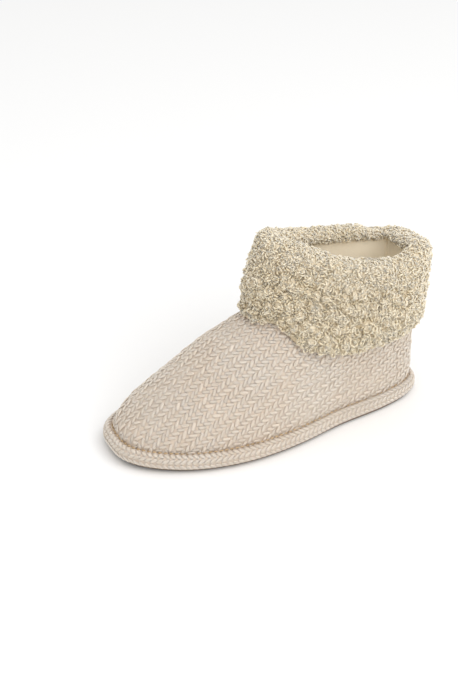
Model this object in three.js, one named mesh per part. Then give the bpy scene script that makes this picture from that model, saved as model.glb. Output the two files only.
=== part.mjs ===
import * as THREE from 'three';

// Bootie slipper for the left foot, in millimetres.
// +Z is up, the toe points to -Y and the outer side of the foot is +X.
// A knitted upper stands on a thick sole rim that is wrapped in the same knit.
// A fleece cuff is folded over the collar, down the outside and a little way inside.

// Sole sizes
const SOLE_LENGTH = 252;
const SOLE_BREADTH = 109.5;
const SOLE_SWEEP = 5;
const OUTSOLE_THICKNESS = 1.6;
const OUTSOLE_INSET = 3.6;
const RIM_THICKNESS = 11.6;
const RIM_LEDGE = 7;
const TOE_SPRING = 2.4;
const TOE_SPRING_SHARE = 0.24;
const ARCH_RISE = 1.4;
const WAIST_MIDDLE = 0.55;
const WAIST_HALF_LENGTH = 0.15;
const ARCH_FADE_SHARE = 0.8;
const OUTSOLE_CHAMFER_SHARE = 0.1;
const OUTSOLE_CHAMFER_RISE = 0.3;
const SIDE_LEDGE_SHARE = 1.1;
const HEEL_LEDGE_SHARE = 0.82;

// Upper sizes
const UPPER_WALL = 2.6;
const COLLAR_FRONT_HEIGHT = 146;
const COLLAR_BACK_HEIGHT = 123;
const TAPER_POWER = 1.5;

// Insole sizes
const INSOLE_THICKNESS = 5;
const INSOLE_CLEARANCE = 1.2;
const INSOLE_EDGE_SHARE = 0.25;

// Cuff sizes
const CUFF_THICKNESS = 8.6;
const CUFF_INSIDE_THICKNESS = 4.6;
const CUFF_TUFT = 1.3;
const CUFF_FOLD_ROUNDNESS = 0.7;
const CUFF_EDGE_REACH = 0.22;
const CUFF_EDGE_SHARE = 0.3;
const CUFF_INSIDE_REACH = 0.5;
const CUFF_INSIDE_TUFT = 0.5;
const CUFF_INSIDE_ROOM = 0.8;

// Fit between pieces that touch
const FIT_GAP = 0.3;

// Mesh density
const LOOP_POINTS = 72;
const LOOP_EVENNESS = 0.11;
const SHELL_ROWS_BELOW_CUFF = 7;
const SHELL_ROWS_BEHIND_CUFF = 8;
const SHELL_ROWS_INSIDE_CUFF = 3;
const SHELL_ROWS_INSIDE = 8;
const CUFF_ROWS_OUTSIDE = 13;
const CUFF_ROWS_OVER = 4;
const CUFF_ROWS_INSIDE = 3;

// Half breadth of the sole as shares of its breadth, along shares of its length from the toe.
const SOLE_OUTLINE = [
  { along: 0.00, outer: 0.432, inner: 0.454 },
  { along: 0.10, outer: 0.489, inner: 0.479 },
  { along: 0.22, outer: 0.521, inner: 0.476 },
  { along: 0.36, outer: 0.512, inner: 0.440 },
  { along: 0.52, outer: 0.457, inner: 0.394 },
  { along: 0.68, outer: 0.382, inner: 0.368 },
  { along: 0.84, outer: 0.376, inner: 0.370 },
  { along: 1.00, outer: 0.389, inner: 0.382 },
];
const SOLE_BLUNTNESS = 0.63;

// Side of the wrapped rim, from its underside up to the seat of the upper.
// inward: share of the way from the rim's edge to the foot of the upper.
// rise: share of the rim's thickness.
const RIM_PROFILE = [
  { inward: 0.56, rise: 0.00 },
  { inward: 0.24, rise: 0.06 },
  { inward: 0.05, rise: 0.24 },
  { inward: 0.00, rise: 0.46 },
  { inward: 0.05, rise: 0.70 },
  { inward: 0.22, rise: 0.91 },
  { inward: 0.48, rise: 1.00 },
  { inward: 0.76, rise: 0.96 },
  { inward: 0.95, rise: 0.84 },
];
const RIM_SEAT = 0.84;

// Sections of the upper from its foot to the collar.
// front, back: how far the ends have moved in from those of the foot, as shares of the sole's length.
// frontRise, backRise: shares of the height from the foot to the collar at that end.
// outer, inner: half widths as shares of those of the foot.
// last: how much the section keeps the outline of the sole.
// toeBlunt, heelBlunt: bluntness of the ends, where 1 is an ellipse and less is squarer.
// bend: share of the sole's sweep. taper: narrowing towards the front end.
const UPPER_SECTIONS = [
  { at: 0.00, front: 0.0000, frontRise: 0.000, back: 0.0000, backRise: 0.000, outer: 1.000, inner: 1.000,
    last: 1.00, toeBlunt: 0.63, heelBlunt: 0.63, bend: 1.0, taper: 0.00 },
  { at: 0.12, front: 0.0030, frontRise: 0.041, back: -0.0035, backRise: 0.074, outer: 1.018, inner: 1.014,
    last: 1.00, toeBlunt: 0.64, heelBlunt: 0.63, bend: 1.0, taper: 0.00 },
  { at: 0.24, front: 0.0280, frontRise: 0.114, back: -0.0050, backRise: 0.174, outer: 0.990, inner: 1.002,
    last: 0.95, toeBlunt: 0.66, heelBlunt: 0.63, bend: 1.0, taper: 0.00 },
  { at: 0.36, front: 0.0865, frontRise: 0.206, back: -0.0050, backRise: 0.265, outer: 0.930, inner: 0.959,
    last: 0.85, toeBlunt: 0.70, heelBlunt: 0.64, bend: 0.9, taper: 0.00 },
  { at: 0.48, front: 0.1758, frontRise: 0.323, back: -0.0040, backRise: 0.355, outer: 0.860, inner: 0.896,
    last: 0.65, toeBlunt: 0.75, heelBlunt: 0.66, bend: 0.8, taper: 0.00 },
  { at: 0.60, front: 0.2809, frontRise: 0.455, back: -0.0010, backRise: 0.436, outer: 0.790, inner: 0.831,
    last: 0.40, toeBlunt: 0.80, heelBlunt: 0.66, bend: 0.6, taper: 0.00 },
  { at: 0.72, front: 0.4290, frontRise: 0.613, back: 0.0090, backRise: 0.544, outer: 0.710, inner: 0.755,
    last: 0.20, toeBlunt: 0.85, heelBlunt: 0.60, bend: 0.4, taper: 0.15 },
  { at: 0.84, front: 0.4440, frontRise: 0.755, back: 0.0090, backRise: 0.715, outer: 0.675, inner: 0.717,
    last: 0.05, toeBlunt: 0.78, heelBlunt: 0.52, bend: 0.2, taper: 0.40 },
  { at: 1.00, front: 0.4714, frontRise: 1.000, back: 0.0060, backRise: 1.000, outer: 0.675, inner: 0.705,
    last: 0.00, toeBlunt: 0.72, heelBlunt: 0.46, bend: 0.0, taper: 0.64 },
];

// How far the collar lies below a straight line from its front to its back, in mm, along shares
// of its length. It is lowest along the sides and rises to the outer corner of the heel.
const COLLAR_DROPS = [
  { along: 0.00, outer: 0.0, inner: 0.0 },
  { along: 0.07, outer: 1.5, inner: 1.5 },
  { along: 0.25, outer: 5.2, inner: 5.2 },
  { along: 0.50, outer: 8.5, inner: 7.5 },
  { along: 0.75, outer: 10.0, inner: 7.0 },
  { along: 0.86, outer: 6.5, inner: 6.6 },
  { along: 0.94, outer: 1.0, inner: 4.2 },
  { along: 1.00, outer: 0.0, inner: 0.0 },
];

// Lower edge of the cuff outside and inside, as levels of the upper's sections,
// along shares of the length from the front of the collar to its back.
const CUFF_EDGES = [
  { along: 0.00, outside: 0.695, inside: 0.978 },
  { along: 0.06, outside: 0.708, inside: 0.978 },
  { along: 0.12, outside: 0.700, inside: 0.976 },
  { along: 0.20, outside: 0.674, inside: 0.974 },
  { along: 0.32, outside: 0.640, inside: 0.972 },
  { along: 0.50, outside: 0.612, inside: 0.970 },
  { along: 0.75, outside: 0.612, inside: 0.970 },
  { along: 0.90, outside: 0.637, inside: 0.960 },
  { along: 1.00, outside: 0.655, inside: 0.930 },
];

// Values that follow from the sizes above
const RIM_BASE = OUTSOLE_THICKNESS + FIT_GAP;
const SEAT_HEIGHT = RIM_BASE + RIM_SEAT * RIM_THICKNESS;
const FOOT_HEIGHT = SEAT_HEIGHT + FIT_GAP;
const FOOT_FRONT = -SOLE_LENGTH / 2 + RIM_LEDGE;
const FOOT_BACK = SOLE_LENGTH / 2 - RIM_LEDGE * HEEL_LEDGE_SHARE;
const FOOT_LIFT_FADE = 0.3;

// Smooth curve through one column of a table.
function readTable(table, key, column, at) {
  const last = table.length - 1;
  let i = 0;
  while (i < last - 1 && at > table[i + 1][key]) {
    i += 1;
  }
  const slope = (n) => {
    const a = Math.max(n - 1, 0);
    const b = Math.min(n + 1, last);
    return (table[b][column] - table[a][column]) / (table[b][key] - table[a][key]);
  };
  const step = table[i + 1][key] - table[i][key];
  const t = Math.min(Math.max((at - table[i][key]) / step, 0), 1);
  const t2 = t * t;
  const t3 = t2 * t;
  return (2 * t3 - 3 * t2 + 1) * table[i][column]
    + (t3 - 2 * t2 + t) * step * slope(i)
    + (3 * t2 - 2 * t3) * table[i + 1][column]
    + (t3 - t2) * step * slope(i + 1);
}

// Height of the sole above the floor: the toe springs up and the waist arches on the inner side.
function soleLift(x, y) {
  const along = (y + SOLE_LENGTH / 2) / SOLE_LENGTH;
  const toe = Math.max(0, 1 - along / TOE_SPRING_SHARE);
  const waist = Math.max(0, 1 - ((along - WAIST_MIDDLE) / WAIST_HALF_LENGTH) ** 2);
  const innerShare = Math.min(Math.max(0.5 - x / (SOLE_BREADTH * ARCH_FADE_SHARE), 0), 1);
  return TOE_SPRING * toe * toe + ARCH_RISE * waist * waist * innerShare;
}

// Point of the sole's outline, where the angle runs once round from the toe.
function solePoint(angle) {
  const along = (1 - Math.cos(angle)) / 2;
  const sine = Math.sin(angle);
  const side = sine >= 0 ? 'outer' : 'inner';
  const half = readTable(SOLE_OUTLINE, 'along', side, along) * SOLE_BREADTH;
  const x = Math.sign(sine) * half * Math.abs(sine) ** SOLE_BLUNTNESS - SOLE_SWEEP * (1 - along) ** 2;
  return new THREE.Vector2(x, -SOLE_LENGTH / 2 + SOLE_LENGTH * along);
}

const OUTER_LARGEST = Math.max(...SOLE_OUTLINE.map((row) => row.outer));
const INNER_LARGEST = Math.max(...SOLE_OUTLINE.map((row) => row.inner));

// Point of the upper's outer face at a level between foot and collar, and an angle round the foot.
function upperPoint(level, angle) {
  const read = (column) => readTable(UPPER_SECTIONS, 'at', column, level);
  const along = (1 - Math.cos(angle)) / 2;
  const sine = Math.sin(angle);
  const isOuter = sine >= 0;
  const side = isOuter ? 'outer' : 'inner';
  const largest = isOuter ? OUTER_LARGEST : INNER_LARGEST;
  const outline = readTable(SOLE_OUTLINE, 'along', side, along) / largest;
  const half = (largest * SOLE_BREADTH - RIM_LEDGE * SIDE_LEDGE_SHARE) * read(side);
  const blunt = read('toeBlunt') + (read('heelBlunt') - read('toeBlunt')) * along;
  const shape = 1 + read('last') * (outline - 1);
  const narrow = 1 - read('taper') * (1 - along) ** TAPER_POWER;
  const x = Math.sign(sine) * half * shape * Math.abs(sine) ** blunt * narrow
    - SOLE_SWEEP * read('bend') * (1 - along) ** 2;
  const front = FOOT_FRONT + read('front') * SOLE_LENGTH;
  const back = FOOT_BACK - read('back') * SOLE_LENGTH;
  const y = front + (back - front) * along;
  const frontZ = FOOT_HEIGHT + read('frontRise') * (COLLAR_FRONT_HEIGHT - FOOT_HEIGHT);
  const backZ = FOOT_HEIGHT + read('backRise') * (COLLAR_BACK_HEIGHT - FOOT_HEIGHT);
  const fade = Math.max(0, 1 - level / FOOT_LIFT_FADE);
  const drop = readTable(COLLAR_DROPS, 'along', side, along) * level ** 3;
  const z = frontZ + (backZ - frontZ) * along + soleLift(x, y) * fade - drop;
  return new THREE.Vector3(x, y, z);
}

// Directions at a point of the upper: out of its face, and up along it.
function upperFrame(level, angle) {
  const da = 0.02;
  const dl = 0.01;
  const low = Math.max(level - dl, 0);
  const high = Math.min(level + dl, 1);
  const round = upperPoint(level, angle + da).sub(upperPoint(level, angle - da));
  const up = upperPoint(high, angle).sub(upperPoint(low, angle)).normalize();
  const out = new THREE.Vector3().crossVectors(round, up).normalize();
  up.crossVectors(out, round).normalize();
  return { out, up };
}

// Point at a distance from the upper's outer face, inwards where it is negative.
function upperOffset(level, angle, distance) {
  const { out } = upperFrame(level, angle);
  return upperPoint(level, angle).addScaledVector(out, distance);
}

const ANGLES = Array.from({ length: LOOP_POINTS }, (_, i) => {
  const turn = (2 * Math.PI * i) / LOOP_POINTS;
  return turn + LOOP_EVENNESS * Math.sin(2 * turn);
});
const alongAt = (angle) => (1 - Math.cos(angle)) / 2;
const spread = (from, to, count) =>
  Array.from({ length: count + 1 }, (_, i) => from + ((to - from) * i) / count);

// One closed body from rows of points, each row once round the shoe.
// A tube joins its last row to its first, and other bodies get flat ends across the shoe.
// crosses says for each cell whether it is split along its second diagonal.
function rowsToGeometry(rows, isTube, crosses = () => false) {
  const positions = [];
  rows.forEach((row) => row.forEach((p) => positions.push(p.x, p.y, p.z)));
  const index = [];
  const n = LOOP_POINTS;
  const bands = isTube ? rows.length : rows.length - 1;
  for (let r = 0; r < bands; r += 1) {
    const next = (r + 1) % rows.length;
    for (let i = 0; i < n; i += 1) {
      const j = (i + 1) % n;
      const a = r * n + i;
      const b = r * n + j;
      const c = next * n + j;
      const d = next * n + i;
      if (crosses(r, i)) {
        index.push(a, b, d, b, c, d);
      } else {
        index.push(a, b, c, a, c, d);
      }
    }
  }
  if (!isTube) {
    const top = (rows.length - 1) * n;
    for (let i = 0; i < n / 2; i += 1) {
      const a = i;
      const b = i + 1;
      const c = (n - i - 1) % n;
      const d = (n - i) % n;
      if (i > 0) {
        index.push(a, d, b);
        index.push(top + a, top + b, top + d);
      }
      if (i < n / 2 - 1) {
        index.push(b, d, c);
        index.push(top + b, top + c, top + d);
      }
    }
  }
  const geometry = new THREE.BufferGeometry();
  geometry.setAttribute('position', new THREE.Float32BufferAttribute(positions, 3));
  geometry.setIndex(index);
  geometry.computeVertexNormals();
  return geometry;
}

// Row of points round the sole, a share of the way from its edge to the foot of the upper.
function soleRow(inward, height) {
  return ANGLES.map((angle) => {
    const edge = solePoint(angle);
    const foot = upperPoint(0, angle);
    const x = edge.x + (foot.x - edge.x) * inward;
    const y = edge.y + (foot.y - edge.y) * inward;
    return new THREE.Vector3(x, y, height + soleLift(x, y));
  });
}

// Outsole: a thin plate set in under the rim.
function outsoleGeometry() {
  const inset = OUTSOLE_INSET / RIM_LEDGE;
  return rowsToGeometry([
    soleRow(inset + OUTSOLE_CHAMFER_SHARE, 0),
    soleRow(inset, OUTSOLE_THICKNESS * OUTSOLE_CHAMFER_RISE),
    soleRow(inset, OUTSOLE_THICKNESS),
  ], false);
}

// Midsole: the wrapped rim, with a groove round the foot of the upper.
function midsoleGeometry() {
  const rows = RIM_PROFILE.map((row) => soleRow(row.inward, RIM_BASE + row.rise * RIM_THICKNESS));
  return rowsToGeometry(rows, false);
}

// Insole: a soft plate that fills the foot of the upper.
function insoleGeometry() {
  const inset = UPPER_WALL + INSOLE_CLEARANCE;
  const base = SEAT_HEIGHT + FIT_GAP;
  const row = (extra, height) => ANGLES.map((angle) => {
    const foot = upperOffset(0, angle, -inset - extra);
    return new THREE.Vector3(foot.x, foot.y, height + soleLift(foot.x, foot.y));
  });
  const roundEdge = INSOLE_THICKNESS * INSOLE_EDGE_SHARE;
  return rowsToGeometry([
    row(0, base),
    row(0, base + INSOLE_THICKNESS - roundEdge),
    row(roundEdge, base + INSOLE_THICKNESS),
  ], false);
}

// Levels of the upper's rows behind the cuff, outside and inside, at one angle.
function cuffLevels(angle) {
  const along = alongAt(angle);
  return {
    outside: readTable(CUFF_EDGES, 'along', 'outside', along),
    inside: readTable(CUFF_EDGES, 'along', 'inside', along),
  };
}

// Upper: one hollow wall, open at the collar and underneath.
function upperGeometry() {
  const rows = [];
  const addRow = (makePoint) => rows.push(ANGLES.map(makePoint));
  spread(0, 1, SHELL_ROWS_BELOW_CUFF).slice(0, -1).forEach((t) => {
    addRow((angle) => upperPoint(t * cuffLevels(angle).outside, angle));
  });
  spread(0, 1, SHELL_ROWS_BEHIND_CUFF).forEach((t) => {
    addRow((angle) => {
      const { outside } = cuffLevels(angle);
      return upperPoint(outside + (1 - outside) * t, angle);
    });
  });
  spread(0, 1, SHELL_ROWS_INSIDE_CUFF).slice(0, -1).forEach((t) => {
    addRow((angle) => {
      const { inside } = cuffLevels(angle);
      return upperOffset(1 - (1 - inside) * t, angle, -UPPER_WALL);
    });
  });
  spread(1, 0, SHELL_ROWS_INSIDE).forEach((t) => {
    addRow((angle) => upperOffset(cuffLevels(angle).inside * t, angle, -UPPER_WALL));
  });
  return rowsToGeometry(rows, true);
}

// Full thickness of the fleece away from its two edges, where it rounds off.
function fleeceThickness(full, t) {
  const edge = Math.min(t / CUFF_EDGE_REACH, 1);
  return full * (CUFF_EDGE_SHARE + (1 - CUFF_EDGE_SHARE) * Math.sqrt(1 - (1 - edge) ** 2));
}

// The fleece inside stays short of the middle of the narrow front of the collar.
function insideLimit(level, angle) {
  const wall = upperOffset(level, angle, -UPPER_WALL - FIT_GAP);
  const { out } = upperFrame(level, angle);
  const sideways = Math.abs(out.x);
  const facesForward = sideways < 0.05;
  return facesForward ? CUFF_INSIDE_THICKNESS : CUFF_INSIDE_ROOM * Math.abs(wall.x) / sideways;
}

// Cuff: fleece from its outer lower edge up, over the collar and down inside.
// Its back follows the upper's own rows, and its face is raised in tufts.
function cuffGeometry() {
  const rows = [];
  const addRow = (makePoint) => rows.push(ANGLES.map(makePoint));
  const tuft = (i) => ((rows.length + i) % 2 === 0 ? CUFF_TUFT : -CUFF_TUFT);
  const outsideFace = CUFF_THICKNESS + FIT_GAP;

  spread(0, 1, CUFF_ROWS_OUTSIDE).forEach((t, r) => {
    addRow((angle, i) => {
      const { outside } = cuffLevels(angle);
      const level = outside + (1 - outside) * t;
      const thickness = fleeceThickness(CUFF_THICKNESS, t) + FIT_GAP;
      return upperOffset(level, angle, thickness + (r > 0 ? tuft(i) : 0));
    });
  });
  spread(0, 1, CUFF_ROWS_OVER).slice(1, -1).forEach((t) => {
    addRow((angle, i) => {
      const { out, up } = upperFrame(1, angle);
      const limit = Math.min(CUFF_INSIDE_THICKNESS, insideLimit(1, angle));
      const reach = outsideFace + UPPER_WALL / 2;
      const reachInside = limit + FIT_GAP + UPPER_WALL / 2;
      const turn = Math.PI * t;
      const sideways = Math.cos(turn) > 0 ? reach : reachInside;
      const across = Math.sign(Math.cos(turn)) * Math.abs(Math.cos(turn)) ** CUFF_FOLD_ROUNDNESS;
      const rise = Math.sin(turn) ** CUFF_FOLD_ROUNDNESS;
      return upperOffset(1, angle, -UPPER_WALL / 2)
        .addScaledVector(out, across * sideways)
        .addScaledVector(up, rise * (CUFF_THICKNESS + tuft(i)));
    });
  });
  spread(0, 1, CUFF_ROWS_INSIDE).forEach((t) => {
    addRow((angle, i) => {
      const { inside } = cuffLevels(angle);
      const level = 1 - (1 - inside) * t;
      const full = Math.min(CUFF_INSIDE_THICKNESS, insideLimit(level, angle));
      const thickness = fleeceThickness(full, (1 - t) * CUFF_INSIDE_REACH);
      const raised = t < 1 ? tuft(i) * CUFF_INSIDE_TUFT * (full / CUFF_INSIDE_THICKNESS) : 0;
      return upperOffset(level, angle, -UPPER_WALL - FIT_GAP - thickness - raised);
    });
  });
  const faceRows = rows.length;
  spread(1, 0, SHELL_ROWS_INSIDE_CUFF).forEach((t) => {
    addRow((angle) => {
      const level = 1 - (1 - cuffLevels(angle).inside) * t;
      const lift = t === 0 ? FIT_GAP : 0;
      const { up } = upperFrame(level, angle);
      return upperOffset(level, angle, -UPPER_WALL - FIT_GAP).addScaledVector(up, lift);
    });
  });
  spread(1, 0, SHELL_ROWS_BEHIND_CUFF).forEach((t) => {
    addRow((angle) => {
      const { outside } = cuffLevels(angle);
      const level = outside + (1 - outside) * t;
      const lift = t === 1 ? FIT_GAP : 0;
      const { up } = upperFrame(level, angle);
      return upperOffset(level, angle, FIT_GAP).addScaledVector(up, lift);
    });
  });
  return rowsToGeometry(rows, true, (r, i) => r >= faceRows || (r + i) % 2 === 0);
}

// Materials
const knit = new THREE.MeshStandardMaterial({ color: 0xc9b9a6, roughness: 0.95, metalness: 0 });
const wrap = new THREE.MeshStandardMaterial({ color: 0xc6b7a5, roughness: 0.95, metalness: 0 });
const fleece = new THREE.MeshStandardMaterial({ color: 0xd2c4a2, roughness: 1, metalness: 0 });
const lining = new THREE.MeshStandardMaterial({ color: 0xd8c9ae, roughness: 0.8, metalness: 0 });
const tread = new THREE.MeshStandardMaterial({ color: 0x9c8b74, roughness: 0.85, metalness: 0 });

// The scene graph, with the middle of its footprint on the floor at the origin
const shoe = new THREE.Group();
const addPiece = (name, geometry, material) => {
  const mesh = new THREE.Mesh(geometry, material);
  mesh.name = name;
  shoe.add(mesh);
};
addPiece('outsole', outsoleGeometry(), tread);
addPiece('midsole', midsoleGeometry(), wrap);
addPiece('insole', insoleGeometry(), lining);
addPiece('upper', upperGeometry(), knit);
addPiece('cuff', cuffGeometry(), fleece);

const box = new THREE.Box3().setFromObject(shoe);
const middle = box.getCenter(new THREE.Vector3());
shoe.position.set(-middle.x, -middle.y, -box.min.z);
shoe.updateMatrixWorld(true);

export default shoe;
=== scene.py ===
"""Bootie slipper, left shoe: its looks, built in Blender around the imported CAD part.

Lengths below are in millimetres in the part's own frame: +Z up, toe towards -Y, outer side +X.
Meshes are scaled to metres when they are made. Every surface is computed as whole arrays.
"""
import math

import bpy
import numpy as np
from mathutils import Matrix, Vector


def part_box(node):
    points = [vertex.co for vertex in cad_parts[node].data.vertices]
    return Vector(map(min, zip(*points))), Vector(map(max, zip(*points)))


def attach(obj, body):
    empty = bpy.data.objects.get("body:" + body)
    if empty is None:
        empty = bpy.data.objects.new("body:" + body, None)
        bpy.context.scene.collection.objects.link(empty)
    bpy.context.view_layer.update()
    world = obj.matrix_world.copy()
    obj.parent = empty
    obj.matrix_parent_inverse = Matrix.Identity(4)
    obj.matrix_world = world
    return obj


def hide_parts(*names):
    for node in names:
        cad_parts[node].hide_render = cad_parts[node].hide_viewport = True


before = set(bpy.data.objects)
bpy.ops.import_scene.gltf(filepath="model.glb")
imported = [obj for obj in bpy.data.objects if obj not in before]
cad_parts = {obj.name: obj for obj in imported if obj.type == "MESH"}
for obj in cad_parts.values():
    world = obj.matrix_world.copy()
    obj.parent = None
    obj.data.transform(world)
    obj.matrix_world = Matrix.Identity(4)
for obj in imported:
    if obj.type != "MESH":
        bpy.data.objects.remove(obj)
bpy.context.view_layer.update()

# Outsole: a thin soft rubber plate, glued under the rim and hardly seen from the side.
# The CAD plate is kept, with a matt rubber finish and a fine dotted tread in its bump.
# Painted shade: the rubber is painted darker between the raised dots of the tread.
OUTSOLE_SHADE_BETWEEN_DOTS = (0.150, 0.112, 0.080, 1)
OUTSOLE_LIGHT = (0.205, 0.158, 0.116, 1)
TREAD_DOTS_PER_METRE = 260
TREAD_DEPTH = 0.0004


def mix_node(tree, blend="MIX"):
    """A colour mix node, with its factor, first, second and result sockets."""
    node = tree.nodes.new("ShaderNodeMix")
    node.data_type = "RGBA"
    node.blend_type = blend
    return node, node.inputs[0], node.inputs[6], node.inputs[7], node.outputs[2]


def new_material(name, roughness, specular=0.25):
    """A material with one Principled node, whose constant values are set on its own sockets."""
    material = bpy.data.materials.new(name)
    material.use_nodes = True
    surface = material.node_tree.nodes["Principled BSDF"]
    surface.inputs["Roughness"].default_value = roughness
    surface.inputs["Specular IOR Level"].default_value = specular
    return material, material.node_tree, surface


def rubber_material():
    """Matt rubber: even voronoi cells raise the dots of the tread, and painted shade darkens the rubber
    between them.
    """
    material, tree, surface = new_material("soft outsole rubber", 0.82, 0.3)
    place = tree.nodes.new("ShaderNodeTexCoord")
    dots = tree.nodes.new("ShaderNodeTexVoronoi")
    dots.inputs["Scale"].default_value = TREAD_DOTS_PER_METRE
    dots.inputs["Randomness"].default_value = 0.0
    tree.links.new(place.outputs["Object"], dots.inputs["Vector"])
    # Painted shade: the rubber gets darker away from the middle of each raised dot.
    mix, amount, first, second, result = mix_node(tree)
    first.default_value = OUTSOLE_LIGHT
    second.default_value = OUTSOLE_SHADE_BETWEEN_DOTS
    tree.links.new(dots.outputs["Distance"], amount)
    tree.links.new(result, surface.inputs["Base Color"])
    bump = tree.nodes.new("ShaderNodeBump")
    bump.inputs["Distance"].default_value = TREAD_DEPTH
    bump.invert = True
    tree.links.new(dots.outputs["Distance"], bump.inputs["Height"])
    tree.links.new(bump.outputs["Normal"], surface.inputs["Normal"])
    return material


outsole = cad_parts["outsole"]
outsole.data.materials.clear()
outsole.data.materials.append(rubber_material())

# Rim: a foam sole about 12 mm thick, wrapped at its side in the same chunky knit as the upper.
# The wrap is pulled round the edge and sewn down in the groove at the foot of the upper.
SOLE_LENGTH = 252.0
SOLE_BREADTH = 109.5
SOLE_SWEEP = 5.0
SOLE_BLUNTNESS = 0.63
RIM_BASE = 1.9
RIM_THICKNESS = 11.6
RIM_LEDGE = 7.0
RIM_SEAT = 0.84
SIDE_LEDGE_SHARE = 1.1
HEEL_LEDGE_SHARE = 0.82
TOE_SPRING, TOE_SPRING_SHARE = 2.4, 0.24
ARCH_RISE, ARCH_MIDDLE, ARCH_HALF_LENGTH, ARCH_FADE_SHARE = 1.4, 0.55, 0.15, 0.8

SOLE_OUTLINE = {
    "along": [0.00, 0.10, 0.22, 0.36, 0.52, 0.68, 0.84, 1.00],
    "outer": [0.432, 0.489, 0.521, 0.512, 0.457, 0.382, 0.376, 0.389],
    "inner": [0.454, 0.479, 0.476, 0.440, 0.394, 0.368, 0.370, 0.382],
}
RIM_PROFILE = {
    "inward": [0.56, 0.24, 0.05, 0.00, 0.05, 0.22, 0.48, 0.76, 0.95],
    "rise": [0.00, 0.06, 0.24, 0.46, 0.70, 0.91, 1.00, 0.96, 0.84],
}
KNIT_LIGHT = (0.700, 0.600, 0.500)
KNIT_DARK = (0.660, 0.560, 0.461)
KNIT_PATCH = (1.0, 0.970, 0.945)
# The knit between the stitches is painted darker than the yarn, as painted shade in the gaps.
KNIT_GAP_SHADE_LIGHT = (0.62, 0.53, 0.44)
KNIT_GAP_SHADE_DARK = (0.58, 0.49, 0.40)
COURSE_PITCH = 4.3
WALE_PITCH = 9.0
YARN_HALF_WIDTH = 1.42
YARN_HALF_HEIGHT = 0.44
GROUND_DEPTH = 0.22
LEG_LENGTH_SHARE = 0.80
LEG_BOW = 0.4
LEG_RISE = 0.15
LEG_ENDS_POWER = 2.6
LEG_TIP_SHARE = 0.6
RIM_WALE_STARTS = (3.6, 12.2)
RIM_ROWS = 26
RING_POINTS = 360
ANGLE_SPREAD = 0.11
FIBRE_LIGHT_REACH = 0.004
PATCH_EDGES = (0.38, 0.62)


def new_group(name, inputs, outputs):
    """An empty shader node group with named sockets, its group input and its group output."""
    group = bpy.data.node_groups.new(name, "ShaderNodeTree")
    for label, kind in inputs:
        group.interface.new_socket(name=label, in_out="INPUT", socket_type=kind)
    for label, kind in outputs:
        group.interface.new_socket(name=label, in_out="OUTPUT", socket_type=kind)
    return group, group.nodes.new("NodeGroupInput"), group.nodes.new("NodeGroupOutput")


def make_tone_group():
    """Group that turns a place and a tone into a colour and a fine height.
    Two noises are used: a wide one for soft patches of the second colour, and a fine one for fuzz."""
    group, source, sink = new_group(
        "yarn tone",
        [("Vector", "NodeSocketVector"), ("Tone", "NodeSocketFloat"), ("Light", "NodeSocketColor"),
         ("Dark", "NodeSocketColor"), ("Patch", "NodeSocketColor"), ("Patch scale", "NodeSocketFloat"),
         ("Fuzz scale", "NodeSocketFloat")],
        [("Color", "NodeSocketColor"), ("Height", "NodeSocketFloat")])
    link = group.links.new
    patches = group.nodes.new("ShaderNodeTexNoise")
    patches.inputs["Detail"].default_value = 1.5
    fuzz = group.nodes.new("ShaderNodeTexNoise")
    fuzz.inputs["Detail"].default_value = 3.0
    link(source.outputs["Vector"], patches.inputs["Vector"])
    link(source.outputs["Patch scale"], patches.inputs["Scale"])
    link(source.outputs["Vector"], fuzz.inputs["Vector"])
    link(source.outputs["Fuzz scale"], fuzz.inputs["Scale"])
    spread = group.nodes.new("ShaderNodeMapRange")
    spread.inputs["From Min"].default_value = PATCH_EDGES[0]
    spread.inputs["From Max"].default_value = PATCH_EDGES[1]
    link(patches.outputs[0], spread.inputs["Value"])
    by_tone, tone, dark, light, toned = mix_node(group)
    link(source.outputs["Tone"], tone)
    link(source.outputs["Dark"], dark)
    link(source.outputs["Light"], light)
    by_patch, amount, first, second, patched = mix_node(group, "MULTIPLY")
    link(spread.outputs["Result"], amount)
    link(toned, first)
    link(source.outputs["Patch"], second)
    link(patched, sink.inputs["Color"])
    link(fuzz.outputs[0], sink.inputs["Height"])
    return group


TONE_GROUP = make_tone_group()


def cloth_material(name, light, dark, patch, roughness=0.92, patch_scale=22, fuzz_scale=1500,
                   fuzz_depth=0.0003, fuzz_strength=0.35, softness=0.0, tone_from_mesh=True):
    """Matt cloth or yarn. The tone comes from the mesh's own "tone" attribute where it has one.
    Softness lets light pass through loose fibres, over the distance of a lock or a stitch."""
    material, tree, surface = new_material(name, roughness)
    surface.inputs["Subsurface Weight"].default_value = softness
    surface.inputs["Subsurface Radius"].default_value = (1.0, 0.95, 0.85)
    surface.inputs["Subsurface Scale"].default_value = FIBRE_LIGHT_REACH
    place = tree.nodes.new("ShaderNodeTexCoord")
    tone = tree.nodes.new("ShaderNodeGroup")
    tone.node_tree = TONE_GROUP
    tone.inputs["Light"].default_value = (*light, 1)
    tone.inputs["Dark"].default_value = (*dark, 1)
    tone.inputs["Patch"].default_value = (*patch, 1)
    tone.inputs["Patch scale"].default_value = patch_scale
    tone.inputs["Fuzz scale"].default_value = fuzz_scale
    tone.inputs["Tone"].default_value = 0.5
    if tone_from_mesh:
        attribute = tree.nodes.new("ShaderNodeAttribute")
        attribute.attribute_name = "tone"
        tree.links.new(attribute.outputs["Fac"], tone.inputs["Tone"])
    bump = tree.nodes.new("ShaderNodeBump")
    bump.inputs["Strength"].default_value = fuzz_strength
    bump.inputs["Distance"].default_value = fuzz_depth
    tree.links.new(place.outputs["Object"], tone.inputs["Vector"])
    tree.links.new(tone.outputs["Color"], surface.inputs["Base Color"])
    tree.links.new(tone.outputs["Height"], bump.inputs["Height"])
    tree.links.new(bump.outputs["Normal"], surface.inputs["Normal"])
    return material


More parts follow.
